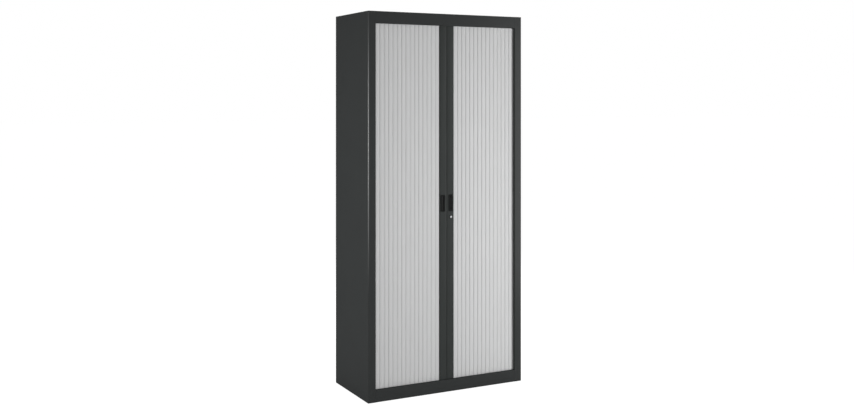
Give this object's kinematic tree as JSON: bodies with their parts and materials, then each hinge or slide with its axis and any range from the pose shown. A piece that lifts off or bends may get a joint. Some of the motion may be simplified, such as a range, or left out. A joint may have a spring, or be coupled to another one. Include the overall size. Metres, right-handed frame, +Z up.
{
  "type": "tambour door cabinet",
  "caption": "Tall steel cupboard with a pair of slatted tambour doors that slide on curved tracks into the side walls, recessed pulls, a cam lock, shelves and levelling feet.",
  "frame": {"origin": "on the floor under the middle of the carcass", "axes": "+Z up, -Y is the door side, +X is to the right seen from the front"},
  "size_m": [0.91, 0.432, 1.98],
  "materials": {
    "frame_paint": "fine powder coat, anthracite",
    "inner_paint": "fine powder coat, anthracite",
    "slat_plastic": "satin extruded plastic, light grey",
    "rail_paint": "satin powder coat, anthracite",
    "handle_plastic": "moulded plastic, near black",
    "lock_chrome": "bright plated",
    "zinc": "zinc plated",
    "track_plastic": "extruded plastic, dark grey"
  },
  "bodies": {
    "carcass": {"top_panel": "frame_paint", "plinth_rail": "frame_paint", "back_panel": "frame_paint", "base_pan": "inner_paint", "crown_pan": "inner_paint", "shelf_1": "inner_paint", "shelf_2": "inner_paint", "shelf_3": "inner_paint", "shelf_4": "inner_paint", "side_panel_left": "frame_paint", "liner_left": "inner_paint", "lower_track_left": "track_plastic", "upper_track_left": "track_plastic", "side_panel_right": "frame_paint", "liner_right": "inner_paint", "lower_track_right": "track_plastic", "upper_track_right": "track_plastic"},
    "left_door": {"lead_rail_left": "rail_paint", "handle_left": "handle_plastic", "slat_left_01": "slat_plastic", "slat_left_02": "slat_plastic", "slat_left_03": "slat_plastic", "slat_left_04": "slat_plastic", "slat_left_05": "slat_plastic", "slat_left_06": "slat_plastic", "slat_left_07": "slat_plastic", "slat_left_08": "slat_plastic", "slat_left_09": "slat_plastic", "slat_left_10": "slat_plastic", "slat_left_11": "slat_plastic", "slat_left_12": "slat_plastic", "slat_left_13": "slat_plastic", "slat_left_14": "slat_plastic", "slat_left_15": "slat_plastic", "slat_left_16": "slat_plastic"},
    "right_door": {"lead_rail_right": "rail_paint", "handle_right": "handle_plastic", "lock_housing": "handle_plastic", "slat_right_01": "slat_plastic", "slat_right_02": "slat_plastic", "slat_right_03": "slat_plastic", "slat_right_04": "slat_plastic", "slat_right_05": "slat_plastic", "slat_right_06": "slat_plastic", "slat_right_07": "slat_plastic", "slat_right_08": "slat_plastic", "slat_right_09": "slat_plastic", "slat_right_10": "slat_plastic", "slat_right_11": "slat_plastic", "slat_right_12": "slat_plastic", "slat_right_13": "slat_plastic", "slat_right_14": "slat_plastic", "slat_right_15": "slat_plastic", "slat_right_16": "slat_plastic"},
    "lock_barrel": {"lock_plug": "lock_chrome", "lock_cam": "zinc"},
    "levelling_foot_front_left": {"foot_front_left": "zinc"},
    "levelling_foot_front_right": {"foot_front_right": "zinc"},
    "levelling_foot_rear_left": {"foot_rear_left": "zinc"},
    "levelling_foot_rear_right": {"foot_rear_right": "zinc"}
  },
  "joints": [
    {"name": "left_door_slide", "type": "slide", "parent": "carcass", "child": "left_door", "axis": [-1, 0, 0], "range_m": [0, 0.37], "deforming": ["slat_left_01", "slat_left_02", "slat_left_03", "slat_left_04", "slat_left_05", "slat_left_06", "slat_left_07", "slat_left_08", "slat_left_09", "slat_left_10", "slat_left_11", "slat_left_12", "slat_left_13", "slat_left_14", "slat_left_15", "slat_left_16"]},
    {"name": "right_door_slide", "type": "slide", "parent": "carcass", "child": "right_door", "axis": [1, 0, 0], "range_m": [0, 0.37], "deforming": ["slat_right_01", "slat_right_02", "slat_right_03", "slat_right_04", "slat_right_05", "slat_right_06", "slat_right_07", "slat_right_08", "slat_right_09", "slat_right_10", "slat_right_11", "slat_right_12", "slat_right_13", "slat_right_14", "slat_right_15", "slat_right_16"]},
    {"name": "lock_turn", "type": "hinge", "parent": "right_door", "child": "lock_barrel", "pos_m": [0.024, -0.2, 0.916], "axis": [0, 1, 0], "range_deg": [0, 90]},
    {"name": "foot_front_left_turn", "type": "hinge", "parent": "carcass", "child": "levelling_foot_front_left", "pos_m": [-0.391, -0.16, 0.02], "axis": [0, 0, 1], "continuous": true},
    {"name": "foot_front_right_turn", "type": "hinge", "parent": "carcass", "child": "levelling_foot_front_right", "pos_m": [0.391, -0.16, 0.02], "axis": [0, 0, 1], "continuous": true},
    {"name": "foot_rear_left_turn", "type": "hinge", "parent": "carcass", "child": "levelling_foot_rear_left", "pos_m": [-0.391, 0.16, 0.02], "axis": [0, 0, 1], "continuous": true},
    {"name": "foot_rear_right_turn", "type": "hinge", "parent": "carcass", "child": "levelling_foot_rear_right", "pos_m": [0.391, 0.16, 0.02], "axis": [0, 0, 1], "continuous": true}
  ]
}
